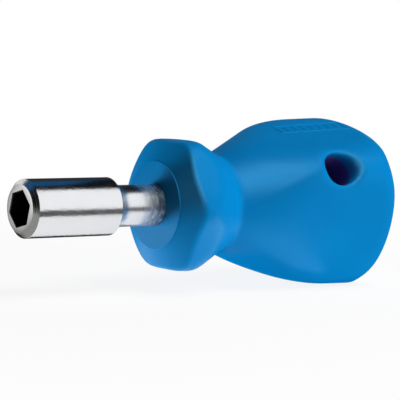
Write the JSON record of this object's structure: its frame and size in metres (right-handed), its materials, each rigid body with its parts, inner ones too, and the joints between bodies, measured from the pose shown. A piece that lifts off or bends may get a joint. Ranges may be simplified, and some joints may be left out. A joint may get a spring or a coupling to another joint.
{
  "type": "bit holder screwdriver",
  "caption": "Stubby screwdriver: a short moulded plastic grip on a steel holder whose hexagon socket takes loose screwdriver bits, with a cross hole through the grip for a hook or a bar.",
  "frame": {"origin": "centre of the mouth of the bit socket, on the tool axis", "axes": "+X along the tool axis from the socket towards the handle, +Z square to one flat of the handle's hexagonal bolster, +Y towards one of its corners"},
  "size_m": [0.0837, 0.0338, 0.0338],
  "materials": {
    "handle_plastic": "semi-gloss moulded plastic with a fine satin texture",
    "holder_chrome": "bright chrome plate over turned steel",
    "magnet_metal": "dull nickel plate",
    "spring_steel": "drawn spring wire"
  },
  "bodies": {
    "root": {"handle": "handle_plastic", "bit_holder": "holder_chrome", "magnet": "magnet_metal", "retaining_ring": "spring_steel"}
  },
  "joints": []
}
